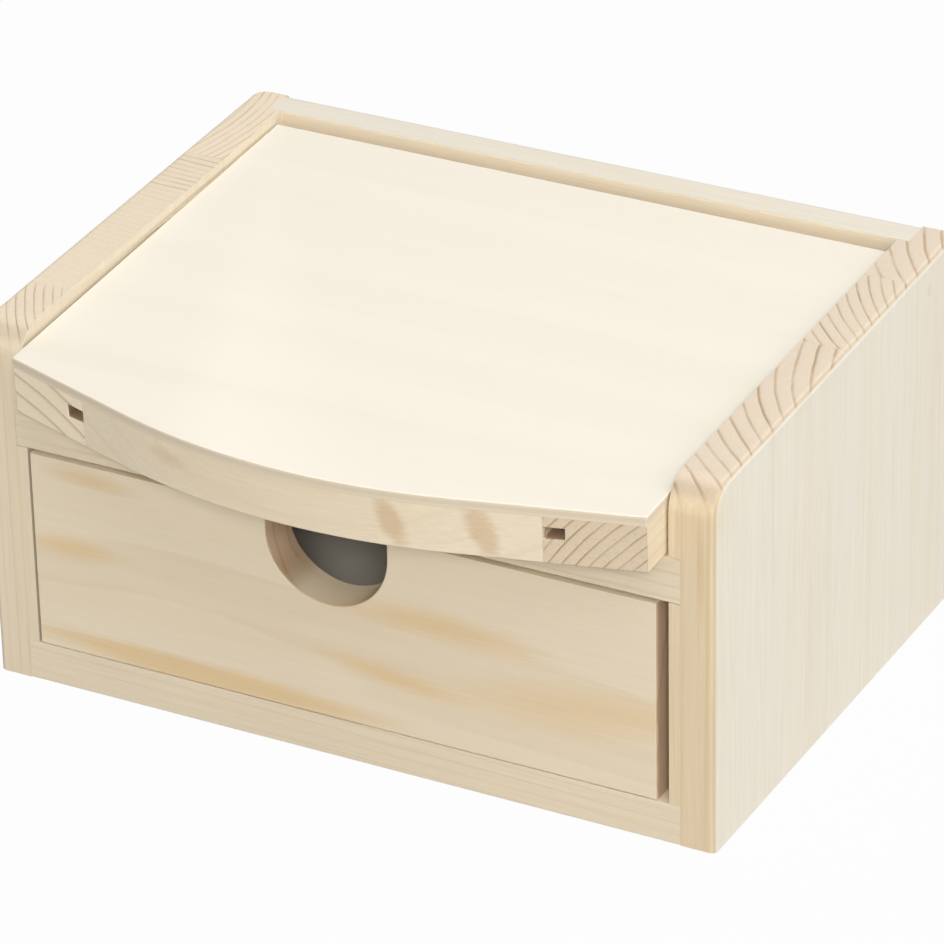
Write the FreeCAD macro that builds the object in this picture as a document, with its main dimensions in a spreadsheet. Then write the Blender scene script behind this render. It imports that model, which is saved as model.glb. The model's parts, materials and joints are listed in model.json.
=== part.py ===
import FreeCAD, Part
import math
import os
import types

import Sketcher

# Small pine dressing table box: two side panels carry a back panel, a bottom board and a sloping deck.
# A drawer slides under the deck, and a lid with a mirror in its underside lies on the deck.
# +X is the right side, +Y the back and +Z up; the origin is the middle of the footprint, on the table.

doc = FreeCAD.newDocument("DressingTableMirror")

# Driving dimensions in millimetres
sizes = {
    # Carcass
    "box_width": 120.0,
    "box_depth": 84.0,
    "front_height": 59.0,
    "back_rise": 3.0,
    "side_thickness": 7.3,
    "back_thickness": 6.0,
    "bottom_thickness": 6.5,
    "housing_depth": 1.8,
    "brow_radius": 5.0,
    "back_corner_radius": 2.5,
    "front_edge_radius": 1.0,
    "deck_thickness": 7.4,
    # Lid, sunk between the side panels by its two drops; length and rail reach the crossing of its front flanks
    "lid_front_drop": 2.4,
    "lid_back_drop": 1.2,
    "lid_length": 95.6,
    "left_set_back": 15.8,
    "right_set_back": 13.0,
    "crossing_offset": -3.2,
    "bow_share": 0.78,
    "lid_side_gap": 0.4,
    "lid_back_gap": 1.3,
    "lid_deck_gap": 0.3,
    "ply_thickness": 1.6,
    "ply_back_ease": 0.5,
    "frame_thickness": 7.6,
    "stile_width": 14.6,
    "front_rail_width": 24.0,
    "back_rail_width": 16.0,
    "groove_depth": 3.0,
    "groove_drop": 1.8,
    "tenon_setback": 4.0,
    "tenon_end_play": 0.2,
    "mirror_thickness": 1.7,
    "mirror_face_play": 0.1,
    "mirror_edge_play": 0.2,
    # Hinge pins
    "pin_diameter": 1.8,
    "pin_set_in": 3.2,
    "pin_drop": 3.4,
    "pin_bite": 7.0,
    "pin_clearance": 0.05,
    "pin_end_play": 0.5,
    "plug_length": 1.2,
    # Drawer
    "drawer_left_gap": 0.3,
    "drawer_right_gap": 1.9,
    "drawer_top_gap": 0.7,
    "drawer_bottom_gap": 0.2,
    "drawer_back_gap": 1.0,
    "drawer_front_thickness": 7.0,
    "drawer_side_thickness": 5.5,
    "drawer_back_thickness": 5.5,
    "drawer_bottom_thickness": 2.2,
    "drawer_groove_depth": 2.5,
    "drawer_groove_play": 0.1,
    "drawer_bottom_lift": 3.0,
    "notch_radius": 10.0,
    "notch_straight": 3.4,
    "notch_offset": -1.6,
}

sheet = doc.addObject("Spreadsheet::Sheet", "Sizes")
for row, (name, value) in enumerate(sizes.items(), start=1):
    sheet.set(f"A{row}", name)
    sheet.set(f"B{row}", str(value))
    sheet.setAlias(f"B{row}", name)
doc.recompute()


class Size:
    # A length worked out from the sheet: its number, and the expression that binds a feature to it

    def __init__(self, value, text):
        self.value = value
        self.text = text

    @staticmethod
    def of(item):
        return item if isinstance(item, Size) else Size(float(item), str(item))

    def __add__(self, other):
        other = Size.of(other)
        return Size(self.value + other.value, f"({self.text} + {other.text})")

    def __sub__(self, other):
        other = Size.of(other)
        return Size(self.value - other.value, f"({self.text} - {other.text})")

    def __mul__(self, other):
        other = Size.of(other)
        return Size(self.value * other.value, f"({self.text} * {other.text})")

    def __truediv__(self, other):
        other = Size.of(other)
        return Size(self.value / other.value, f"({self.text} / {other.text})")

    def __neg__(self):
        return Size(-self.value, f"(0 - {self.text})")

    def root(self):
        return Size(math.sqrt(self.value), f"sqrt({self.text})")

    def least(self, other):
        return Size(min(self.value, other.value), f"min({self.text}; {other.text})")


zero = Size(0.0, "0")
dim = types.SimpleNamespace(**{name: Size(float(sheet.get(name)), f"Sizes.{name}") for name in sizes})

# Levels and faces that several pieces share
half_width = dim.box_width / 2
half_depth = dim.box_depth / 2
inner_face = half_width - dim.side_thickness
housed_face = inner_face + dim.housing_depth
back_inner = half_depth - dim.back_thickness
back_height = dim.front_height + dim.back_rise


def side_top(y):
    return dim.front_height + dim.back_rise * (y + half_depth) / dim.box_depth


# The lid's top runs from its drop at the front of the box to its drop at the back panel
lid_level_front = dim.front_height - dim.lid_front_drop
lid_level_back = side_top(back_inner) - dim.lid_back_drop
lid_slope = (lid_level_back - lid_level_front) / (back_inner + half_depth)
slope_length = (lid_slope * lid_slope + 1).root()
lid_thickness = dim.ply_thickness + dim.frame_thickness
deck_front_top = lid_level_front - (lid_thickness + dim.lid_deck_gap) * slope_length


def deck_top(y):
    return deck_front_top + lid_slope * (y + half_depth)


def deck_under(y):
    return deck_top(y) - dim.deck_thickness


# The lid is drawn flat about its pin axis, then tilted to lie along the deck
lid_half = inner_face - dim.lid_side_gap
lid_back = dim.pin_set_in
lid_top = dim.pin_drop
frame_top = lid_top - dim.ply_thickness
frame_under = lid_top - lid_thickness
stile_inner = lid_half - dim.stile_width
pin_y = back_inner - dim.lid_back_gap - dim.pin_set_in
pin_z = deck_top(pin_y) + (dim.lid_deck_gap - frame_under) * slope_length
lid_angle = math.degrees(math.atan(lid_slope.value))
lid_placement = FreeCAD.Placement(
    FreeCAD.Vector(0, pin_y.value, pin_z.value),
    FreeCAD.Rotation(FreeCAD.Vector(1, 0, 0), lid_angle),
)

# The hand-cut front of the lid: a straight flank from each corner, and a bow that rounds off their crossing
crossing = lid_back - dim.lid_length
left_slope = -dim.left_set_back / (dim.crossing_offset + lid_half)
right_slope = dim.right_set_back / (lid_half - dim.crossing_offset)
left_stretch = (left_slope * left_slope + 1).root()
right_stretch = (right_slope * right_slope + 1).root()
bow_tangent = (dim.crossing_offset + stile_inner) * left_stretch * dim.bow_share
bow_left = dim.crossing_offset - bow_tangent / left_stretch
bow_right = dim.crossing_offset + bow_tangent / right_stretch
bow_turn = (right_slope - left_slope) / (right_slope * left_slope + 1)
bow_radius = bow_tangent * bow_turn / ((bow_turn * bow_turn + 1).root() - 1)


def left_flank(x):
    return crossing + left_slope * (x - dim.crossing_offset)


def right_flank(x):
    return crossing + right_slope * (x - dim.crossing_offset)


def lid_outline(body, half, back, offset):
    # Plan of the lid between -half and half, from the bowed front to the given back
    return outline(body, "XY_Plane", [
        (-half, left_flank(-half)),
        (bow_left, left_flank(bow_left)),
        (bow_right, right_flank(bow_right)),
        (half, right_flank(half)),
        (half, back),
        (-half, back),
    ], offset=offset, arcs={1: (bow_radius, False)})


def make_body(label):
    body = doc.addObject("PartDesign::Body", label)
    body.Label = label
    return body


def arc_between(start, end, radius, clockwise):
    # Short arc from start to end; a sketch keeps arcs anticlockwise, so a clockwise one runs from its end
    first, last = (end, start) if clockwise else (start, end)
    chord = last - first
    middle = (first + last) / 2
    height = math.sqrt(max(radius ** 2 - (chord.Length / 2) ** 2, 0))
    normal = FreeCAD.Vector(-chord.y, chord.x, 0).normalize()
    centre = middle + normal * height
    angle = [math.atan2(point.y - centre.y, point.x - centre.x) for point in (first, last)]
    circle = Part.Circle(centre, FreeCAD.Vector(0, 0, 1), radius)
    return Part.ArcOfCircle(circle, angle[0], angle[1])


def outline(body, role, points, offset=zero, arcs=None):
    # Closed sketch through the points; arcs maps the number of an edge to its radius and turning sense
    arcs = arcs or {}
    sketch = body.newObject("Sketcher::SketchObject", "Outline")
    plane = next(item for item in body.Origin.OriginFeatures if item.Role == role)
    sketch.AttachmentSupport = [(plane, "")]
    sketch.MapMode = "FlatFace"
    sketch.AttachmentOffset = FreeCAD.Placement(FreeCAD.Vector(0, 0, offset.value), FreeCAD.Rotation())
    sketch.setExpression("AttachmentOffset.Base.z", offset.text)
    corners = [FreeCAD.Vector(x.value, y.value, 0) for x, y in points]
    count = len(corners)
    ends = []
    for number, start in enumerate(corners):
        end = corners[(number + 1) % count]
        if number in arcs:
            radius, clockwise = arcs[number]
            sketch.addGeometry(arc_between(start, end, radius.value, clockwise))
            ends.append((2, 1) if clockwise else (1, 2))
            turn = sketch.addConstraint(Sketcher.Constraint("Radius", number, radius.value))
            sketch.setExpression(f"Constraints[{turn}]", radius.text)
        else:
            sketch.addGeometry(Part.LineSegment(start, end))
            ends.append((1, 2))
    for number, (x, y) in enumerate(points):
        before = (number - 1) % count
        corner = (number, ends[number][0])
        sketch.addConstraint(Sketcher.Constraint("Coincident", before, ends[before][1], *corner))
        for kind, place in (("DistanceX", x), ("DistanceY", y)):
            index = sketch.addConstraint(Sketcher.Constraint(kind, -1, 1, *corner, place.value))
            sketch.setExpression(f"Constraints[{index}]", place.text)
    return sketch


def ring(body, role, radius, offset):
    # Sketch of a circle about the origin
    sketch = body.newObject("Sketcher::SketchObject", "Ring")
    plane = next(item for item in body.Origin.OriginFeatures if item.Role == role)
    sketch.AttachmentSupport = [(plane, "")]
    sketch.MapMode = "FlatFace"
    sketch.AttachmentOffset = FreeCAD.Placement(FreeCAD.Vector(0, 0, offset.value), FreeCAD.Rotation())
    sketch.setExpression("AttachmentOffset.Base.z", offset.text)
    sketch.addGeometry(Part.Circle(FreeCAD.Vector(0, 0, 0), FreeCAD.Vector(0, 0, 1), radius.value))
    sketch.addConstraint(Sketcher.Constraint("Coincident", 0, 3, -1, 1))
    index = sketch.addConstraint(Sketcher.Constraint("Radius", 0, radius.value))
    sketch.setExpression(f"Constraints[{index}]", radius.text)
    return sketch


def pad(body, sketch, length, along=True):
    feature = body.newObject("PartDesign::Pad", "Pad")
    feature.Profile = sketch
    feature.Length = length.value
    feature.setExpression("Length", length.text)
    feature.Reversed = not along
    return feature


def pocket(body, sketch, length, along=True):
    # Cuts along the sketch normal, or against it
    feature = body.newObject("PartDesign::Pocket", "Pocket")
    feature.Profile = sketch
    feature.Length = length.value
    feature.setExpression("Length", length.text)
    feature.Reversed = along
    return feature


def edges_where(shape, **places):
    # Names of the edges that lie wholly at the given coordinates
    tolerance = 1e-4
    names = []
    for number, edge in enumerate(shape.Edges, start=1):
        box = edge.BoundBox
        at_place = [
            abs(getattr(box, axis + end) - size.value) < tolerance
            for axis, size in places.items() for end in ("Min", "Max")
        ]
        if all(at_place):
            names.append(f"Edge{number}")
    return names


def ease(body, kind, size_name, size, **places):
    # Fillet or chamfer on the edges at the given coordinates
    doc.recompute()
    base = body.Tip
    names = edges_where(base.Shape, **places)
    feature = body.newObject(kind, kind.split("::")[1])
    feature.Base = (base, names)
    setattr(feature, size_name, size.value)
    feature.setExpression(size_name, size.text)
    return feature


def fillet(body, radius, **places):
    return ease(body, "PartDesign::Fillet", "Radius", radius, **places)


def chamfer(body, size, **places):
    return ease(body, "PartDesign::Chamfer", "Size", size, **places)


def block(label, x, y, z):
    # Box between low and high faces
    box = doc.addObject("Part::Box", label)
    box.Label = label
    for name, axis, (low, high) in (("Length", "x", x), ("Width", "y", y), ("Height", "z", z)):
        box.setExpression(name, (high - low).text)
        box.setExpression(f"Placement.Base.{axis}", low.text)
    return box


def cut(label, base, tool):
    result = doc.addObject("Part::Cut", label)
    result.Label = label
    result.Base = base
    result.Tool = tool
    return result


parts = []


# Carcass


def side_panel(label, side):
    # Panel with a rounded brow, and one housing for the bottom board, the back panel and the deck
    body = make_body(label)
    right = side > 0
    outer = half_width if right else -half_width
    inner = inner_face if right else -inner_face
    profile = outline(body, "YZ_Plane", [
        (-half_depth, zero),
        (half_depth, zero),
        (half_depth, back_height),
        (-half_depth, dim.front_height),
    ], offset=inner)
    pad(body, profile, dim.side_thickness, along=right)
    housing = outline(body, "YZ_Plane", [
        (-half_depth, zero),
        (half_depth, zero),
        (half_depth, back_height),
        (back_inner, side_top(back_inner)),
        (back_inner, deck_top(back_inner)),
        (-half_depth, deck_front_top),
        (-half_depth, deck_under(-half_depth)),
        (back_inner, deck_under(back_inner)),
        (back_inner, dim.bottom_thickness),
        (-half_depth, dim.bottom_thickness),
    ], offset=inner)
    pocket(body, housing, dim.housing_depth, along=right)
    bore = ring(body, "YZ_Plane", dim.pin_diameter / 2, offset=inner)
    for axis, place in (("x", pin_y), ("y", pin_z)):
        bore.setExpression(f"AttachmentOffset.Base.{axis}", place.text)
    pocket(body, bore, dim.side_thickness, along=right)
    fillet(body, dim.brow_radius, Y=-half_depth, Z=dim.front_height)
    fillet(body, dim.back_corner_radius, X=outer, Y=half_depth)
    fillet(body, dim.front_edge_radius, X=outer, Y=-half_depth)
    return body


def housed_board(label, points):
    # Board between the side panels with its ends let into them
    body = make_body(label)
    pad(body, outline(body, "YZ_Plane", points, offset=-housed_face), housed_face * 2)
    return body


def rod(label, low, high):
    # Round rod on the pin axis
    stick = doc.addObject("Part::Cylinder", label)
    stick.Label = label
    stick.Placement.Rotation = FreeCAD.Rotation(FreeCAD.Vector(0, 1, 0), 90)
    stick.setExpression("Radius", (dim.pin_diameter / 2).text)
    stick.setExpression("Height", (high - low).text)
    for axis, place in (("x", low), ("y", pin_y), ("z", pin_z)):
        stick.setExpression(f"Placement.Base.{axis}", place.text)
    return stick


def hinge_pin(label, side):
    # Plain steel pin from the side panel into the side of the lid stile
    outer = half_width - dim.plug_length
    inner = lid_half - dim.pin_bite
    return rod(label, inner, outer) if side > 0 else rod(label, -outer, -inner)


def pin_plug(label, side):
    # Pine plug that closes the hole over the pin, flush with the panel
    inner = half_width - dim.plug_length
    return rod(label, inner, half_width) if side > 0 else rod(label, -half_width, -inner)


parts.append(side_panel("left_side_panel", -1))
parts.append(side_panel("right_side_panel", 1))
parts.append(housed_board("back_panel", [
    (back_inner, zero),
    (half_depth, zero),
    (half_depth, back_height),
    (back_inner, side_top(back_inner)),
]))
parts.append(housed_board("bottom_board", [
    (-half_depth, zero),
    (back_inner, zero),
    (back_inner, dim.bottom_thickness),
    (-half_depth, dim.bottom_thickness),
]))
parts.append(housed_board("deck_board", [
    (-half_depth, deck_under(-half_depth)),
    (back_inner, deck_under(back_inner)),
    (back_inner, deck_top(back_inner)),
    (-half_depth, deck_front_top),
]))
parts.append(hinge_pin("left_hinge_pin", -1))
parts.append(hinge_pin("right_hinge_pin", 1))
parts.append(pin_plug("left_pin_plug", -1))
parts.append(pin_plug("right_pin_plug", 1))


# Lid, drawn flat about the pin axis

groove_top = frame_top - dim.groove_drop
groove_under = groove_top - dim.mirror_thickness - dim.mirror_face_play
tenon_length = dim.groove_depth - dim.tenon_end_play
front_rail_inner = crossing + dim.front_rail_width
back_rail_inner = lid_back - dim.back_rail_width


def lid_plywood_top():
    # Thin plywood over the whole frame, bowed at the front
    body = make_body("lid_plywood_top")
    pad(body, lid_outline(body, lid_half, lid_back, frame_top), dim.ply_thickness)
    chamfer(body, dim.ply_back_ease, Y=lid_back, Z=lid_top)
    return body


def lid_stile(label, side):
    # Long-grain side of the frame; its groove runs out through both ends
    body = make_body(label)
    right = side > 0
    near, far = (stile_inner, lid_half) if right else (-lid_half, -stile_inner)
    flank = right_flank if right else left_flank
    inner = stile_inner if right else -stile_inner
    floor = inner + dim.groove_depth * side
    profile = outline(body, "XY_Plane", [
        (near, flank(near)),
        (far, flank(far)),
        (far, lid_back),
        (near, lid_back),
    ], offset=frame_under)
    pad(body, profile, dim.frame_thickness)
    low, high = (inner, floor) if right else (floor, inner)
    groove = outline(body, "XZ_Plane", [
        (low, groove_under),
        (high, groove_under),
        (high, groove_top),
        (low, groove_top),
    ], offset=-lid_back)
    pocket(body, groove, dim.lid_length)
    bore_depth = dim.pin_bite + dim.pin_end_play
    bore_end = (lid_half - bore_depth) * side
    bore = ring(body, "YZ_Plane", dim.pin_diameter / 2 + dim.pin_clearance, offset=bore_end)
    pocket(body, bore, bore_depth, along=right)
    fillet(body, dim.pin_set_in, Y=lid_back, Z=frame_under)
    return body


def rail_tenon(body, side, low, high):
    # Stub tenon that fills the stile groove
    start = stile_inner if side > 0 else -stile_inner
    profile = outline(body, "YZ_Plane", [
        (low, groove_under),
        (high, groove_under),
        (high, groove_top),
        (low, groove_top),
    ], offset=start)
    pad(body, profile, tenon_length, along=side > 0)


def rail_groove(body, low, high):
    # Groove for the mirror edge, along the whole rail
    profile = outline(body, "YZ_Plane", [
        (low, groove_under),
        (high, groove_under),
        (high, groove_top),
        (low, groove_top),
    ], offset=-stile_inner)
    pocket(body, profile, stile_inner * 2)


def lid_front_rail():
    # Bowed rail; its tenons stop short of the front, so the stile grooves show there as small holes
    body = make_body("lid_front_rail")
    pad(body, lid_outline(body, stile_inner, front_rail_inner, frame_under), dim.frame_thickness)
    rail_groove(body, front_rail_inner - dim.groove_depth, front_rail_inner)
    for side, front in ((-1, left_flank(-stile_inner)), (1, right_flank(stile_inner))):
        rail_tenon(body, side, front + dim.tenon_setback, front_rail_inner - dim.groove_depth)
    return body


def lid_back_rail():
    # Straight rail whose lower back edge is rounded about the pins, so that the lid can swing up
    body = make_body("lid_back_rail")
    profile = outline(body, "XY_Plane", [
        (-stile_inner, back_rail_inner),
        (stile_inner, back_rail_inner),
        (stile_inner, lid_back),
        (-stile_inner, lid_back),
    ], offset=frame_under)
    pad(body, profile, dim.frame_thickness)
    rail_groove(body, back_rail_inner, back_rail_inner + dim.groove_depth)
    fillet(body, dim.pin_set_in, Y=lid_back, Z=frame_under)
    for side in (-1, 1):
        rail_tenon(body, side, back_rail_inner + dim.groove_depth, lid_back)
    return body


def mirror_glass():
    # Plain plate whose four edges sit in the grooves
    body = make_body("mirror_glass")
    reach = dim.groove_depth - dim.mirror_edge_play
    half = stile_inner + reach
    rest = groove_under + dim.mirror_face_play / 2
    profile = outline(body, "XY_Plane", [
        (-half, front_rail_inner - reach),
        (half, front_rail_inner - reach),
        (half, back_rail_inner + reach),
        (-half, back_rail_inner + reach),
    ], offset=rest)
    pad(body, profile, dim.mirror_thickness)
    return body


lid_parts = [
    lid_plywood_top(),
    lid_stile("lid_left_stile", -1),
    lid_stile("lid_right_stile", 1),
    lid_front_rail(),
    lid_back_rail(),
    mirror_glass(),
]
for piece in lid_parts:
    piece.Placement = lid_placement
parts.extend(lid_parts)


# Drawer

drawer_left = dim.drawer_left_gap - inner_face
drawer_right = inner_face - dim.drawer_right_gap
drawer_low = dim.bottom_thickness + dim.drawer_bottom_gap
drawer_high = deck_under(-half_depth).least(deck_under(back_inner)) - dim.drawer_top_gap
drawer_front_back = dim.drawer_front_thickness - half_depth
drawer_end = back_inner - dim.drawer_back_gap
side_inner_left = drawer_left + dim.drawer_side_thickness
side_inner_right = drawer_right - dim.drawer_side_thickness
back_board_front = drawer_end - dim.drawer_back_thickness
slot_low = drawer_low + dim.drawer_bottom_lift
slot_high = slot_low + dim.drawer_bottom_thickness + dim.drawer_groove_play
slot_left = side_inner_left - dim.drawer_groove_depth
slot_right = side_inner_right + dim.drawer_groove_depth
slot_front = drawer_front_back - dim.drawer_groove_depth
slot_back = back_board_front + dim.drawer_groove_depth


def drawer_front():
    # Inset front with a round finger notch in its top edge and a groove for the drawer bottom
    body = make_body("drawer_front")
    middle = (drawer_left + drawer_right) / 2 + dim.notch_offset
    spring = drawer_high - dim.notch_straight
    profile = outline(body, "XZ_Plane", [
        (drawer_left, drawer_low),
        (drawer_right, drawer_low),
        (drawer_right, drawer_high),
        (middle + dim.notch_radius, drawer_high),
        (middle + dim.notch_radius, spring),
        (middle, spring - dim.notch_radius),
        (middle - dim.notch_radius, spring),
        (middle - dim.notch_radius, drawer_high),
        (drawer_left, drawer_high),
    ], offset=half_depth, arcs={4: (dim.notch_radius, True), 5: (dim.notch_radius, True)})
    pad(body, profile, dim.drawer_front_thickness, along=False)
    groove = outline(body, "XZ_Plane", [
        (slot_left, slot_low),
        (slot_right, slot_low),
        (slot_right, slot_high),
        (slot_left, slot_high),
    ], offset=-drawer_front_back)
    pocket(body, groove, dim.drawer_groove_depth)
    return body


def drawer_board(label, x, y, slot_x, slot_y):
    # Upright board of the drawer box, grooved for the bottom
    base = block(label + "_blank", x, y, (drawer_low, drawer_high))
    tool = block(label + "_groove", slot_x, slot_y, (slot_low, slot_high))
    return cut(label, base, tool)


parts.append(drawer_front())
parts.append(drawer_board(
    "drawer_left_side",
    (drawer_left, side_inner_left), (drawer_front_back, drawer_end),
    (slot_left, side_inner_left), (drawer_front_back, slot_back),
))
parts.append(drawer_board(
    "drawer_right_side",
    (side_inner_right, drawer_right), (drawer_front_back, drawer_end),
    (side_inner_right, slot_right), (drawer_front_back, slot_back),
))
parts.append(drawer_board(
    "drawer_back",
    (side_inner_left, side_inner_right), (back_board_front, drawer_end),
    (side_inner_left, side_inner_right), (back_board_front, slot_back),
))
parts.append(block(
    "drawer_bottom",
    (slot_left + dim.drawer_groove_play, slot_right - dim.drawer_groove_play),
    (slot_front + dim.drawer_groove_play, slot_back - dim.drawer_groove_play),
    (slot_low, slot_low + dim.drawer_bottom_thickness),
))


# Check every object, then write one file for each piece

doc.recompute()
for item in doc.Objects:
    if "Invalid" in item.State or "Error" in item.State:
        raise RuntimeError(f"{item.Label} failed: {item.State}")
for piece in parts:
    if piece.Shape.isNull() or not piece.Shape.isValid() or len(piece.Shape.Solids) != 1:
        raise RuntimeError(f"{piece.Label} has no sound solid")

os.makedirs("parts", exist_ok=True)
for piece in parts:
    piece.Shape.exportStep(f"parts/{piece.Label}.step")
    print(f"{piece.Label}: {piece.Shape.Volume:.1f} mm3")
print(f"lid pins at y {pin_y.value:.5f}, z {pin_z.value:.5f} mm; lid tilted {lid_angle:.3f} degrees")
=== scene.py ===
import json
import math

import bmesh
import bpy
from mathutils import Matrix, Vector

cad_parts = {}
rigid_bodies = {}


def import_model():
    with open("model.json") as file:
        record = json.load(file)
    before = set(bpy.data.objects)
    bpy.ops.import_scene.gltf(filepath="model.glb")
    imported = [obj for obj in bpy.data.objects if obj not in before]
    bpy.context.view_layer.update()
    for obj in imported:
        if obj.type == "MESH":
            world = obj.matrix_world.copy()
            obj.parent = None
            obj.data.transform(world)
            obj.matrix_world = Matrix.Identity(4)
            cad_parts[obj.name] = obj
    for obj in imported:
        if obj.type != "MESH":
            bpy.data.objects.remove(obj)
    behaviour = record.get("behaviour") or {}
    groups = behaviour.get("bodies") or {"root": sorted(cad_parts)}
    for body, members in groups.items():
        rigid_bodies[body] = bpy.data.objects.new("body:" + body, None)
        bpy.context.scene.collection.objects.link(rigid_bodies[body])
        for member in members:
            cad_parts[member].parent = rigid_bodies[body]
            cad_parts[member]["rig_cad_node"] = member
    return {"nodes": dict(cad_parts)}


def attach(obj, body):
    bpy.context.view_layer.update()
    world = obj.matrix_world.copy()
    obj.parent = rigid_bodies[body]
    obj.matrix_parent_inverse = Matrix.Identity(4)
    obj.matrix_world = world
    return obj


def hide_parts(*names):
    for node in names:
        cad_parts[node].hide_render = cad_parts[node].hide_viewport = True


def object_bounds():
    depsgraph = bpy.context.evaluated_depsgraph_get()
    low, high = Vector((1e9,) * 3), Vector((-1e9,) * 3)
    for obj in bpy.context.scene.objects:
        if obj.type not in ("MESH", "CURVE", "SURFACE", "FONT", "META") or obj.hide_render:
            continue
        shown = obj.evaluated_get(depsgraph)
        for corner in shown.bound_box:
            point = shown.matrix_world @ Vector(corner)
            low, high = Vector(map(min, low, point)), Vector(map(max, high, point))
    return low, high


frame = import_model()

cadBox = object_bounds()
mm = 0.001
lidTilt = math.radians(2.925)  # the closed lid slopes down to the front
print("frame loaded,", len(frame["nodes"]), "nodes")


# Camera, lamps and floor

view = {
    "place": (0.35535, -0.66207, 0.43629),
    "turn": (61.449, 1.082, 27.683),
    "lens": 216.37,
    "sensor": 36.0,
    "nearest": 0.01,
}
plainWhite = (1, 1, 1, 1)
softWhite = (1.0, 0.99, 0.97)
warmWhite = (1.0, 0.98, 0.95)
lampAway = 2.0
lamps = {
    "keyLamp": {"from": (0.38, -0.2, 0.9), "size": 1.6, "power": 20.5, "shade": warmWhite},
    "sideLamp": {"from": (0.93, -0.12, 0.34), "size": 1.4, "power": 11.0, "shade": softWhite},
    "leftLamp": {"from": (-0.62, -0.7, 0.35), "size": 1.4, "power": 5.0, "shade": softWhite},
    "backLamp": {"from": (0.3, 0.85, 0.42), "size": 1.4, "power": 9.0, "shade": softWhite},
    "viewLamp": {"from": (0.41, -0.76, 0.5), "size": 0.4, "power": 15.8, "shade": warmWhite},
}
room = {"light": 0.2, "shade": (*softWhite, 1)}
floorLook = {"half": 4.0, "drop": 0.0002, "shade": (0.45, 0.45, 0.45, 1), "whiteShare": 0.97}


class Wire:
    # one socket of a shader; sums on it add Math nodes
    def __init__(self, tree, socket=None):
        self.tree = tree
        self.socket = socket

    def add(self, kind, settings=None, sockets=None, out=0):
        node = self.tree.nodes.new("ShaderNode" + kind)
        for name, value in (settings or {}).items():
            if name == "stops":
                ramp = node.color_ramp.elements
                ramp.remove(ramp[1])
                ramp[0].position = value[0][0]
                ramp[0].color = value[0][1]
                for place, shade in value[1:]:
                    ramp.new(place).color = shade
            else:
                setattr(node, name, value)
        for name, value in (sockets or {}).items():
            if isinstance(value, Wire):
                self.tree.links.new(value.socket, node.inputs[name])
            else:
                node.inputs[name].default_value = value
        return Wire(self.tree, node.outputs[out] if node.outputs else None)

    def math(self, operation, first, second=0.0, third=0.0):
        return self.add("Math", {"operation": operation}, {0: first, 1: second, 2: third})

    def __add__(self, other):
        return self.math("ADD", self, other)

    def __radd__(self, other):
        return self.math("ADD", other, self)

    def __sub__(self, other):
        return self.math("SUBTRACT", self, other)

    def __rsub__(self, other):
        return self.math("SUBTRACT", other, self)

    def __mul__(self, other):
        return self.math("MULTIPLY", self, other)

    def __rmul__(self, other):
        return self.math("MULTIPLY", other, self)

    def __truediv__(self, other):
        return self.math("DIVIDE", self, other)

    def __pow__(self, other):
        return self.math("POWER", self, other)

    def __abs__(self):
        return self.math("ABSOLUTE", self)

    def over(self, low, high):
        # 0 below low, 1 above high, soft between
        settings = {"interpolation_type": "SMOOTHSTEP"}
        return self.add("MapRange", settings, {"Value": self, "From Min": low, "From Max": high})

    def blend(self, other, amount, way="MIX"):
        # 6, 7 and 2 are the colour sockets of a Mix node
        settings = {"data_type": "RGBA", "blend_type": way}
        return self.add("Mix", settings, {0: amount, 6: self, 7: other}, 2)

    def parts(self):
        # X, Y and Z of a vector
        split = self.add("SeparateXYZ", None, {0: self}).socket.node
        return {axis: Wire(self.tree, split.outputs[axis]) for axis in "XYZ"}

    def tone(self, shade):
        # a colour that others are blended into
        paint = self.add("RGB")
        paint.socket.default_value = shade
        return paint

    def noise(self, look, vector, seed=None):
        # the seed, if there is one, is the fourth dimension
        sockets = {"Vector": vector, "Scale": look["scale"], "Detail": look["detail"]}
        sockets["Roughness"] = look.get("rough", 0.5)
        if seed is None:
            return self.add("TexNoise", None, sockets)
        sockets["W"] = seed + look["step"] if "step" in look else seed
        return self.add("TexNoise", {"noise_dimensions": "4D"}, sockets)


def newFinish(name):
    finish = bpy.data.materials.new(name)
    finish.use_nodes = True
    finish.node_tree.nodes.clear()
    return finish, Wire(finish.node_tree)


def setCamera():
    turn = [math.radians(angle) for angle in view["turn"]]
    bpy.ops.object.camera_add(location=view["place"], rotation=turn)
    camera = bpy.context.object
    camera.data.lens = view["lens"]
    camera.data.sensor_width = view["sensor"]
    camera.data.clip_start = view["nearest"]
    bpy.context.scene.camera = camera


def setLamps():
    for name, lamp in lamps.items():
        towards = Vector(lamp["from"]).normalized()
        turn = towards.to_track_quat("Z", "Y").to_euler()
        bpy.ops.object.light_add(type="AREA", location=towards * lampAway, rotation=turn)
        light = bpy.context.object
        light.name = name
        light.data.size = lamp["size"]
        light.data.energy = lamp["power"]
        light.data.color = lamp["shade"]


def seenPlainly(start):
    # 1 for what is seen by the camera, in the mirror or through glass
    path = start.add("LightPath").socket.node
    rays = ("Is Camera Ray", "Is Glossy Ray", "Is Transmission Ray")
    camera, glossy, through = [Wire(start.tree, path.outputs[ray]) for ray in rays]
    return start.math("MINIMUM", camera + glossy + through, 1.0)


def setRoom():
    world = bpy.data.worlds.new("room")
    bpy.context.scene.world = world
    world.use_nodes = True
    world.node_tree.nodes.clear()
    start = Wire(world.node_tree)
    soft = start.add("Background", None, {"Color": room["shade"], "Strength": room["light"]})
    bright = start.add("Background", None, {"Color": plainWhite, "Strength": 1.0})
    sky = start.add("MixShader", None, {0: seenPlainly(start), 1: soft, 2: bright})
    start.add("OutputWorld", None, {"Surface": sky})


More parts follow.
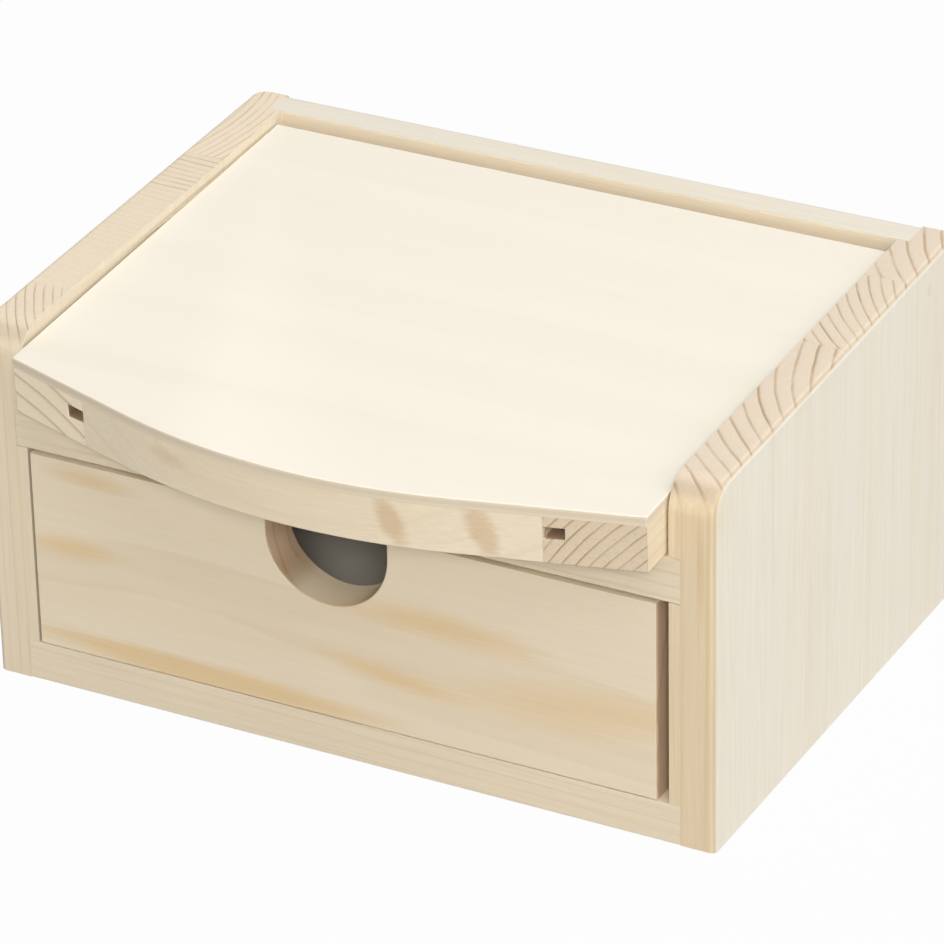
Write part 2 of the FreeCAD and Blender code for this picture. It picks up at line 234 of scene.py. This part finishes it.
def setFloor():
    bpy.ops.object.select_all(action="DESELECT")
    bpy.ops.mesh.primitive_plane_add(size=floorLook["half"] * 2, location=(0, 0, -floorLook["drop"]))
    floor = bpy.context.object
    floor.name = "floor"
    finish, start = newFinish("floorWhite")
    shaded = start.add("BsdfDiffuse", None, {"Color": floorLook["shade"]})
    bright = start.add("Emission", None, {"Color": plainWhite, "Strength": 1.0})
    share = seenPlainly(start) * floorLook["whiteShare"]
    paper = start.add("MixShader", None, {0: share, 1: shaded, 2: bright})
    start.add("OutputMaterial", None, {"Surface": paper})
    floor.data.materials.append(finish)


setCamera()
setLamps()
setRoom()
setFloor()
bpy.context.scene.view_settings.view_transform = "Standard"
print("camera, lamps and floor set")


# Pine, as a solid of growth rings about the pith of each stave

woodGloss = 0.3
noiseMiddle = 0.5
pineLook = {
    "early": (0.84, 0.735, 0.565, 1),
    "late": (0.66, 0.47, 0.27, 1),
    "endEarly": (0.82, 0.70, 0.545, 1),
    "endLate": (0.43, 0.275, 0.145, 1),
    "warm": (0.80, 0.63, 0.40, 1),
    # painted light: a paler, cooler tone for faces that the lamps light
    "paintedPaleLight": (0.83, 0.79, 0.70, 1),
    # painted shade for rounded edges
    "edgeShade": (0.80, 0.785, 0.745, 1),
    # painted shade for the inside face of a side panel
    "inner": (0.665, 0.585, 0.465, 1),
    "streak": (0.63, 0.45, 0.265, 1),
    "amber": (0.79, 0.60, 0.355, 1),
    # painted shade inside the groove
    "grooveShade": (0.34, 0.22, 0.13, 1),
    "faceLines": 0.34,
    "endLines": 0.8,
    "fibre": 0.2,
    "bandDepth": 0.25,
    "innerShare": 0.8,
    "sway": 4.0,  # how far the fibre lines wander, in mm
    "fray": 0.5,  # how far the fibres fray a smear's rim
    "driftStretch": 0.12,  # patterns are drawn out along the grain
    "fibreStretch": 0.025,
    "seam": 0.05,  # half the width of a glue line, in mm
    "staveStep": 7.3,  # keeps the patterns of two staves apart
}
# Scales are per millimetre; a step keeps patterns on the same seed apart
pineNoise = {
    "drift": {"scale": 0.07, "detail": 2.0},
    "patchy": {"scale": 0.22, "detail": 1.0, "step": 5.0},
    "fibre": {"scale": 2.6, "detail": 4.0, "rough": 0.6},
    "broad": {"scale": 0.11, "detail": 2.0, "step": 3.0},
    "band": {"scale": 0.4, "detail": 2.0, "step": 11.0},
    "pore": {"scale": 3.2, "detail": 3.0, "rough": 0.65},
}
# Where each mask starts and is full
pineMask = {
    "end": (0.45, 0.8),
    # painted shade on the inside face of a side panel
    "inner": (0.45, 0.8),
    # painted light on faces across the board's chosen axis
    "litFacing": (0.7, 0.95),
    # painted shade on rounded edges
    "edgeShade": (0.02, 0.25),
    "patchy": (0.36, 0.56),
    "warm": (0.42, 0.72),
    "band": (0.4, 0.65),
    "pore": (0.5, 0.8),
}
pineRelief = {"depth": 0.05, "fibre": 0.6, "lessAtEnd": 0.3, "late": 0.35, "pore": 0.5}
pineRough = {"plain": 0.62, "fibre": 0.14, "late": 0.08}
ringStops = [
    (0.0, (0, 0, 0, 1)),
    (0.5, (0.02, 0.02, 0.02, 1)),
    (0.76, (0.12, 0.12, 0.12, 1)),
    (0.87, (0.85, 0.85, 0.85, 1)),
    (0.95, (1, 1, 1, 1)),
    (1.0, (0, 0, 0, 1)),
]
# What a board or a smear has unless it says otherwise
usualBoard = {
    "lid": False, "runout": (0.0, 0.0), "wander": 1.2, "even": 0.5, "warmth": 0.5, "lines": 1.0, "fibre": 1.0,
    "endLines": 1.0, "endTint": (1, 1, 1), "pores": 0.16, "smears": [],
}
usualSmear = {"shade": "streak", "turn": 0, "core": 0.35, "ragged": 0.6, "onEnd": False}


def inBoard(start, onLid):
    # Object coordinates in millimetres, level with the lid for its boards
    objectPlace = start.add("TexCoord", out="Object")
    tilt = -lidTilt if onLid else 0.0
    place = start.add("Mapping", {"vector_type": "POINT"}, {
        "Vector": objectPlace, "Rotation": (tilt, 0, 0), "Scale": (1 / mm, 1 / mm, 1 / mm),
    })
    return place, place.parts()


def toned(shade, tint):
    return (*[part * share for part, share in zip(shade, tint)], 1)


def pineFinish(name, settings):
    board = {**usualBoard, **settings}
    finish, start = newFinish(name)
    place, axes = inBoard(start, board["lid"])
    facing = start.add("TexCoord", out="Normal").parts()
    along = axes[board["grain"]]
    first, second = [axes[axis] for axis in "XYZ" if axis != board["grain"]]
    end = abs(facing[board["grain"]]).over(*pineMask["end"])

    # Each stave has its own pith, ring width, tone and line strength; staves follow one another along Y
    staves = board["staves"]
    own, stave = staves[0][1:], board["seed"]
    for before, after in zip(staves, staves[1:]):
        past = axes["Y"].over(before[0] - pineLook["seam"], before[0] + pineLook["seam"])
        own = [value + past * (new - old) for value, old, new in zip(own, before[1:], after[1:])]
        stave = stave + past * pineLook["staveStep"]
    pithFirst, pithSecond, ringWidth, tone, lineShare = own

    # Slow drift of the rings, and fibres drawn out along the grain
    drift = start.add("CombineXYZ", None, {"X": first, "Y": second, "Z": along * pineLook["driftStretch"]})
    wander = start.noise(pineNoise["drift"], drift, stave) - noiseMiddle
    sway = wander * pineLook["sway"]
    fibreLine = start.add("CombineXYZ", None, {
        "X": first + sway, "Y": second + sway, "Z": along * pineLook["fibreStretch"],
    })
    fibre = start.noise(pineNoise["fibre"], fibreLine, stave)
    ripple = fibre - noiseMiddle
    pore = start.noise(pineNoise["pore"], place)

    # Late wood ends every ring; its strength changes from ring to ring and along them
    offFirst = first - pithFirst + along * board["runout"][0]
    offSecond = second - pithSecond + along * board["runout"][1]
    radius = (offFirst * offFirst + offSecond * offSecond) ** 0.5
    rings = radius / ringWidth + wander * board["wander"]
    ring = start.math("FLOOR", rings)
    strength = start.add("TexWhiteNoise", {"noise_dimensions": "1D"}, {"W": ring + stave})
    patchy = start.noise(pineNoise["patchy"], drift, stave).over(*pineMask["patchy"])
    least = board["even"]
    late = start.add("ValToRGB", {"stops": ringStops}, {"Fac": start.math("FRACT", rings)})
    late = late * (least + (1.0 - least) * strength) * (least + (1.0 - least) * patchy) * lineShare

    # Painted light: faces across one axis of a board are painted paler and cooler, as if lit by the lamps.
    # Painted shade: the inside face of a side panel is painted darker.
    warm = start.noise(pineNoise["broad"], fibreLine, stave).over(*pineMask["warm"])
    face = start.tone(pineLook["early"]).blend(pineLook["warm"], warm * board["warmth"])
    face = face.blend(pineLook["late"], late * (pineLook["faceLines"] * board["lines"]))
    if "litAxis" in board:
        litFacing = abs(facing[board["litAxis"]]).over(*pineMask["litFacing"])
        band = start.noise(pineNoise["band"], fibreLine, stave).over(*pineMask["band"])
        banded = 1.0 - pineLook["bandDepth"] * band
        face = face.blend(pineLook["paintedPaleLight"], litFacing * banded * board["litShare"])
    if "innerSide" in board:
        inner = (facing["X"] * board["innerSide"]).over(*pineMask["inner"])
        face = face.blend(pineLook["inner"], inner * pineLook["innerShare"])
    cut = start.tone(toned(pineLook["endEarly"], board["endTint"]))
    cut = cut.blend(pineLook["endLate"], late * (pineLook["endLines"] * board["endLines"]))
    cut = cut.blend(pineLook["endLate"], pore.over(*pineMask["pore"]) * board["pores"])

    # Streaks, stains and the painted shade inside the groove
    for spot in board["smears"]:
        smear = {**usualSmear, **spot}
        near = start.add("Mapping", {"vector_type": "TEXTURE"}, {
            "Vector": place, "Location": smear["at"], "Scale": smear["half"],
            "Rotation": (0, math.radians(smear["turn"]), 0),
        })
        reach = start.add("VectorMath", {"operation": "LENGTH"}, {0: near}, "Value")
        ragged = reach + ripple * pineLook["fray"] + wander * smear["ragged"]
        soaked = (1.0 - ragged.over(smear["core"], 1.0)) * smear["depth"]
        stain = pineLook[smear["shade"]]
        face = face.blend(stain, soaked)
        if smear["onEnd"]:
            cut = cut.blend(stain, soaked)
    wood = face.blend(cut, end)

    # Painted shade on rounded edges, damping the highlight they catch: no part of their normal comes near 1
    widest = 0.0
    for axis in "XYZ":
        widest = start.math("MAXIMUM", abs(facing[axis]), widest)
    wood = wood.blend(pineLook["edgeShade"], (1.0 - widest).over(*pineMask["edgeShade"]), "MULTIPLY")
    level = tone + ripple * (pineLook["fibre"] * board["fibre"])
    wood = wood.blend(level, 1.0, "MULTIPLY")

    height = fibre * (pineRelief["fibre"] - pineRelief["lessAtEnd"] * end)
    height = height + late * pineRelief["late"] + pore * end * pineRelief["pore"]
    bump = start.add("Bump", None, {"Height": height, "Distance": pineRelief["depth"] * mm, "Strength": 1.0})
    rough = pineRough["plain"] + pineRough["fibre"] * fibre - pineRough["late"] * late
    skin = start.add("BsdfPrincipled", None, {
        "Base Color": wood, "Roughness": rough, "Normal": bump, "Specular IOR Level": woodGloss,
    })
    start.add("OutputMaterial", None, {"Surface": skin})
    return finish


# Plywood: pale face veneers over a cross-grained core that shows only at the edges

plyLook = {
    "face": (0.93, 0.885, 0.79, 1),
    "figure": (0.86, 0.79, 0.66, 1),
    "core": (0.70, 0.59, 0.45, 1),
    "edge": (0.79, 0.69, 0.54, 1),
    "cloudShare": 0.35,
    "fibreShare": 0.3,
    "coreShare": 0.6,
    "fleckShare": 0.35,
    "stretch": 0.03,
    "wave": 0.08,  # how far the veneers wave, as a share of the thickness
    "relief": 0.025,
    "reliefFibre": 0.6,
    "rough": 0.55,
    "roughFibre": 0.15,
}
plyNoise = {
    "fibre": {"scale": 2.2, "detail": 4.0, "rough": 0.6},
    "cloud": {"scale": 0.09, "detail": 3.0},
    "fleck": {"scale": 2.4, "detail": 3.0, "rough": 0.7},
}
plyMask = {
    "aboveUnder": (0.27, 0.33),
    "aboveCore": (0.67, 0.73),
    "flat": (0.5, 0.8),
    "cloud": (0.4, 0.75),
    "fibre": (0.5, 0.85),
    "fleck": (0.5, 0.75),
}


def plyFinish(name, sheet):
    finish, start = newFinish(name)
    place, axes = inBoard(start, sheet.get("lid", False))
    upright = start.add("TexCoord", out="Normal").parts()["Z"]
    edge = 1.0 - abs(upright).over(*plyMask["flat"])
    along, across = axes[sheet["grain"]], axes["Y" if sheet["grain"] == "X" else "X"]
    strand = start.add("CombineXYZ", None, {
        "X": along * plyLook["stretch"], "Y": across, "Z": sheet["seed"],
    })
    fibre = start.noise(plyNoise["fibre"], strand)
    cloud = start.noise(plyNoise["cloud"], strand)
    fleck = start.noise(plyNoise["fleck"], place)

    level = (axes["Z"] - sheet["under"]) / sheet["thick"] + (fleck - noiseMiddle) * plyLook["wave"]
    core = level.over(*plyMask["aboveUnder"]) * (1.0 - level.over(*plyMask["aboveCore"]))
    face = start.tone(plyLook["face"])
    face = face.blend(plyLook["figure"], cloud.over(*plyMask["cloud"]) * plyLook["cloudShare"])
    face = face.blend(plyLook["figure"], fibre.over(*plyMask["fibre"]) * plyLook["fibreShare"])
    side = start.tone(plyLook["edge"])
    side = side.blend(plyLook["core"], core * plyLook["coreShare"])
    side = side.blend(plyLook["core"], fleck.over(*plyMask["fleck"]) * plyLook["fleckShare"])
    wood = face.blend(side, edge)

    height = fibre * plyLook["reliefFibre"] + fleck * edge
    bump = start.add("Bump", None, {"Height": height, "Distance": plyLook["relief"] * mm, "Strength": 1.0})
    rough = plyLook["rough"] + plyLook["roughFibre"] * fibre
    skin = start.add("BsdfPrincipled", None, {
        "Base Color": wood, "Roughness": rough, "Normal": bump, "Specular IOR Level": woodGloss,
    })
    start.add("OutputMaterial", None, {"Surface": skin})
    return finish


# Mirror and pins

mirrorLook = {
    "silver": (0.9, 0.92, 0.92, 1),
    "clean": 0.015,
    "smudge": 0.05,
    "smudgeNoise": {"scale": 60.0, "detail": 3.0, "rough": 0.6},
    "smudgeMask": (0.5, 0.8),
}
pinLook = {
    "steel": (0.56, 0.56, 0.57, 1),
    "dull": (0.4, 0.4, 0.41, 1),
    "drawn": (200, 6000, 6000),  # lines along the wire
    "lineNoise": {"scale": 1.0, "detail": 3.0},
    "lineMask": (0.4, 0.7),
    "relief": 0.01,
    "rough": 0.25,
    "roughLines": 0.2,
}


def mirrorFinish():
    finish, start = newFinish("silveredGlass")
    smear = start.noise(mirrorLook["smudgeNoise"], start.add("TexCoord", out="Object"))
    rough = mirrorLook["clean"] + smear.over(*mirrorLook["smudgeMask"]) * mirrorLook["smudge"]
    skin = start.add("BsdfPrincipled", None, {
        "Base Color": mirrorLook["silver"], "Metallic": 1.0, "Roughness": rough,
    })
    start.add("OutputMaterial", None, {"Surface": skin})
    return finish


def pinFinish():
    finish, start = newFinish("drawnWire")
    drawn = start.add("Mapping", {"vector_type": "POINT"}, {
        "Vector": start.add("TexCoord", out="Object"), "Scale": pinLook["drawn"],
    })
    lines = start.noise(pinLook["lineNoise"], drawn)
    metal = start.tone(pinLook["steel"]).blend(pinLook["dull"], lines.over(*pinLook["lineMask"]))
    bump = start.add("Bump", None, {"Height": lines, "Distance": pinLook["relief"] * mm, "Strength": 1.0})
    rough = pinLook["rough"] + pinLook["roughLines"] * lines
    skin = start.add("BsdfPrincipled", None, {
        "Base Color": metal, "Metallic": 1.0, "Roughness": rough, "Normal": bump,
    })
    start.add("OutputMaterial", None, {"Surface": skin})
    return finish


# Boards: each is its solid with sanded edges; glued joints keep nearly sharp edges

sanding = {
    "width": 1.8,
    "segments": 4,
    "shares": {"free": 0.147, "tight": 0.033, "round": 1.0, "none": 0.0},  # of the width
    "angle": 30.0,
    "merge": 0.0005,
    "flat": 0.3,
    "slack": 0.02,
}


def paint(piece, finish):
    piece.data.materials.clear()
    piece.data.materials.append(finish)


def liesOn(edge, plane):
    # true where both ends lie on the plane, and above its height if it has one
    normal, above = Vector(plane["normal"]), plane.get("above", -1.0)
    ends = [point.co / mm for point in edge.verts]
    return all(abs(end.dot(normal) - plane["offset"]) < sanding["slack"] and end.z > above for end in ends)


def sandedBoard(node, body, finish, planes, usual="free"):
    bpy.ops.object.select_all(action="DESELECT")
    solid = frame["nodes"][node]
    solid.hide_set(False)
    solid.select_set(True)
    bpy.context.view_layer.objects.active = solid
    bpy.ops.object.duplicate()
    piece = bpy.context.object
    piece.name = node + "_sanded"
    del piece["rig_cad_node"]
    bpy.ops.object.mode_set(mode="EDIT")
    bpy.ops.mesh.select_all(action="SELECT")
    bpy.ops.mesh.remove_doubles(threshold=sanding["merge"] * mm)
    bpy.ops.mesh.dissolve_limited(angle_limit=math.radians(sanding["flat"]))
    bpy.ops.mesh.select_all(action="DESELECT")
    bpy.ops.object.mode_set(mode="OBJECT")
    sharpAngle = math.radians(sanding["angle"])
    bpy.ops.object.shade_smooth_by_angle(angle=sharpAngle)

    form = bmesh.new()
    form.from_mesh(piece.data)
    weight = form.edges.layers.float.new("bevel_weight_edge")
    for edge in form.edges:
        if len(edge.link_faces) != 2 or edge.calc_face_angle_signed() <= sharpAngle:
            continue
        kind = usual
        for plane in planes:
            if liesOn(edge, plane):
                kind = plane["kind"]
        edge[weight] = sanding["shares"][kind]
    form.to_mesh(piece.data)
    form.free()

    bpy.ops.object.modifier_add(type="BEVEL")
    bevel = piece.modifiers[-1]
    bevel.limit_method = "WEIGHT"
    bevel.width = sanding["width"] * mm
    bevel.segments = sanding["segments"]
    bevel.use_clamp_overlap = False
    bevel.harden_normals = True
    bpy.ops.object.modifier_apply(modifier=bevel.name)
    for point in piece.data.vertices:
        point.co.y = min(point.co.y, cadBox[1][1])  # a bevel may pass the back of the box by a hair
    paint(piece, finish)
    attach(piece, body)
    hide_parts(node)


def planesAt(normal, offsets, kind):
    return [{"normal": normal, "offset": offset, "kind": kind} for offset in offsets]


# Planes of the joints, in millimetres; the last plane that an edge lies on counts
lidNormal = (0.0, -math.sin(lidTilt), math.cos(lidTilt))
housedFaces, stileInners = (-54.5, 54.5), (-37.7, 37.7)
frameTop = 57.07
drawerLow, drawerHigh, bottomTop = 6.7, 38.99, 6.5
boxBack, backHigh = 42.0, 53.0
housed = planesAt((1, 0, 0), housedFaces, "tight")
fitted = planesAt((0, 0, 1), (drawerLow, drawerHigh, bottomTop), "tight")
framed = planesAt((1, 0, 0), stileInners, "tight") + planesAt(lidNormal, [frameTop], "tight")
backRound = {"normal": (0, 1, 0), "offset": boxBack, "above": backHigh, "kind": "round"}
backPlanes = [*planesAt((1, 0, 0), housedFaces, "none"), backRound]

# Every stave: where it ends along Y, the two places of its pith across the grain, ring width, tone, line strength
far = 1000.0
carcassBoards = {
    "left_side_panel": {
        # painted shade: its inside face is painted darker
        "grain": "Z", "seed": 1.7, "lines": 0.8, "wander": 0.8, "endTint": (1.03, 1.04, 1.05), "innerSide": 1,
        "staves": [
            (-28, -18, -10, 1.35, 1.0, 1.25),
            (-14, -50, 80, 1.9, 1.0, 0.1),
            (6, -50, 120, 1.4, 1.0, 0.28),
            (18, -50, 120, 1.4, 1.0, 0.8),
            (far, -95, 32, 1.3, 1.05, 0.8),
        ],
    },
    "right_side_panel": {
        # painted shade: its inside face is painted darker
        "grain": "Z", "seed": 4.1, "lines": 1.6, "wander": 0.6, "even": 0.6, "innerSide": -1, "warmth": 1.0,
        # painted light: its faces across X are painted paler and cooler
        "litAxis": "X", "litShare": 0.95, "endLines": 1.15, "endTint": (0.985, 0.99, 1.03),
        "staves": [
            (2, 97, 10, 2.5, 0.98, 1.0),
            (24, 95.6, 43.5, 1.8, 0.99, 1.0),
            (far, 88, 52, 2.7, 0.99, 0.9),
        ],
        "smears": [
            {"at": (57.6, -42, 46), "half": (1.5, 2.5, 18.0), "depth": 0.6, "core": 0.1, "ragged": 1.0},
            {"at": (54.0, -42, 51), "half": (0.9, 2.5, 8.0), "depth": 0.4, "core": 0.1, "ragged": 1.0},
            {
                "at": (56.4, -42, 24), "half": (5.0, 2.5, 50.0),
                "shade": "amber", "depth": 0.4, "core": 0.6, "ragged": 0.4,
            },
            {
                "at": (57.0, -44, 55), "half": (9.0, 13.0, 9.0),
                "shade": "amber", "depth": 0.3, "core": 0.2, "onEnd": True,
            },
        ],
    },
    "back_panel": {
        # painted light: its top and bottom faces are painted paler and cooler
        "grain": "X", "seed": 9.4, "staves": [(far, 60, -25, 2.6, 1.0, 0.6)], "litAxis": "Z", "litShare": 0.9,
    },
    "bottom_board": {
        "grain": "X", "seed": 12.2, "staves": [(far, -22, -55, 1.7, 1.0, 1.0)], "runout": (0.0, 0.015),
    },
    "deck_board": {"grain": "X", "seed": 15.8, "staves": [(far, -10, 120, 1.9, 0.98, 1.0)]},
}
carcassPlanes = {"back_panel": backPlanes, "bottom_board": housed + fitted, "deck_board": housed + fitted}
for node, board in carcassBoards.items():
    finish = pineFinish("pine_" + node, board)
    if node in carcassPlanes:
        sandedBoard(node, "carcass", finish, carcassPlanes[node])
    else:
        sandedBoard(node, "carcass", finish, [], "none")  # the side panels are rounded in their solids
print("carcass boards sanded")

# Painted shade: the open ends of the mirror's groove are painted dark inside, where shade falls
grooveShadeSmear = {"half": (2.4, 7.0, 1.6), "shade": "grooveShade", "depth": 0.9, "core": 0.85, "ragged": 0.1}
lidBoards = {
    "lid_left_stile": {
        "grain": "Y", "lid": True, "seed": 21.3, "staves": [(far, -66, -6.15, 3.05, 1.04, 1.0)],
        # painted light: its end tint is lighter, making up for less lamp light at the lid's left end
        "wander": 0.3, "even": 0.9, "endLines": 0.75, "endTint": (1.16, 1.19, 1.17),
        # painted shade in the groove's open end
        "smears": [{"at": (-39.2, -43, 54.3), **grooveShadeSmear}],
    },
    "lid_right_stile": {
        "grain": "Y", "lid": True, "seed": 24.9, "staves": [(far, 90, 13, 1.55, 0.99, 1.0)],
        "wander": 1.0, "even": 0.7, "endLines": 1.2, "endTint": (0.92, 0.90, 0.85), "pores": 0.45,
        # painted shade in the groove's open end
        "smears": [{"at": (39.2, -44, 54.3), **grooveShadeSmear}],
    },
    "lid_front_rail": {
        "grain": "X", "lid": True, "seed": 27.6, "staves": [(far, -90, 70, 2.4, 1.03, 1.0)], "lines": 0.5,
        "smears": [
            {"at": (16.2, -52.0, 53.4), "half": (2.5, 9.0, 6.0), "turn": -22, "depth": 0.68, "ragged": 0.4},
            # painted shade in the groove's open ends
            {"at": (-39.2, -42.0, 54.3), **grooveShadeSmear},
            {"at": (39.2, -43.0, 54.3), **grooveShadeSmear},
            {
                "at": (-20.5, -50.0, 54.4), "half": (4.5, 9.0, 1.5), "turn": 8,
                "depth": 0.3, "core": 0.1, "ragged": 1.4,
            },
            {"at": (29.2, -50.5, 53.6), "half": (2.7, 9.0, 6.5), "turn": -20, "depth": 0.64, "ragged": 0.4},
        ],
    },
    "lid_back_rail": {"grain": "X", "lid": True, "seed": 31.1, "staves": [(far, 20, 95, 2.1, 1.0, 1.0)]},
}
for node, board in lidBoards.items():
    sandedBoard(node, "lid", pineFinish("pine_" + node, board), framed)
lidTop = {"grain": "X", "lid": True, "under": frameTop, "thick": 1.6, "seed": 2.0}
sandedBoard("lid_plywood_top", "lid", plyFinish("plywoodLid", lidTop), framed)
print("lid boards sanded")

amber = {"shade": "amber", "depth": 0.9, "core": 0.1, "ragged": 1.5}
drawerBoards = {
    "drawer_front": {
        "grain": "X", "seed": 36.7, "staves": [(far, 25, 20, 4.2, 1.02, 1.0)], "runout": (0.0, 0.03),
        # its end grain is darker: partly the wood's own tone, partly painted shade for the gap at its ends
        "wander": 2.2, "fibre": 0.5, "endTint": (0.81, 0.70, 0.62),
        "smears": [
            {"at": (42.0, -42, 18.4), "half": (30.0, 12.0, 5.6), "turn": -4, **amber, "depth": 0.7},
            {"at": (-22.0, -42, 8.4), "half": (40.0, 12.0, 2.5), "turn": 1, **amber, "depth": 1.0, "core": 0.3},
            {"at": (16.0, -42, 26.6), "half": (24.0, 12.0, 4.0), "turn": 3, **amber},
            {"at": (-46.0, -42, 24.5), "half": (11.0, 12.0, 2.6), **amber},
            {"at": (-42.0, -42, 36.6), "half": (13.0, 12.0, 2.4), "turn": 2, **amber},
            {"at": (8.0, -42, 16.0), "half": (16.0, 12.0, 2.2), "turn": 6, **amber},
        ],
    },
    "drawer_left_side": {"grain": "Y", "seed": 41.2, "staves": [(far, -120, 10, 2.2, 1.0, 1.0)]},
    "drawer_right_side": {"grain": "Y", "seed": 44.0, "staves": [(far, 118, 30, 2.4, 1.0, 1.0)]},
    "drawer_back": {"grain": "X", "seed": 47.5, "staves": [(far, 90, 15, 2.0, 1.0, 1.0)]},
}
for node, board in drawerBoards.items():
    sandedBoard(node, "drawer", pineFinish("pine_" + node, board), fitted)
drawerSheet = {"grain": "Y", "under": 9.7, "thick": 2.2, "seed": 8.0}
sandedBoard("drawer_bottom", "drawer", plyFinish("plywoodDrawer", drawerSheet), [])
print("drawer boards sanded")

# Plugs, pins and mirror keep their solids and get their finishes
plugBoard = {
    # painted light: their faces across X are painted paler and cooler
    "grain": "Z", "seed": 52.0, "staves": [(far, 80, 20, 1.2, 0.95, 1.0)], "litAxis": "X", "litShare": 0.6,
}
plugPine, wireSteel = pineFinish("pine_plugs", plugBoard), pinFinish()
for side in ("left", "right"):
    paint(frame["nodes"][side + "_pin_plug"], plugPine)
    paint(frame["nodes"][side + "_hinge_pin"], wireSteel)
paint(frame["nodes"]["mirror_glass"], mirrorFinish())
print("plugs, pins and mirror finished")
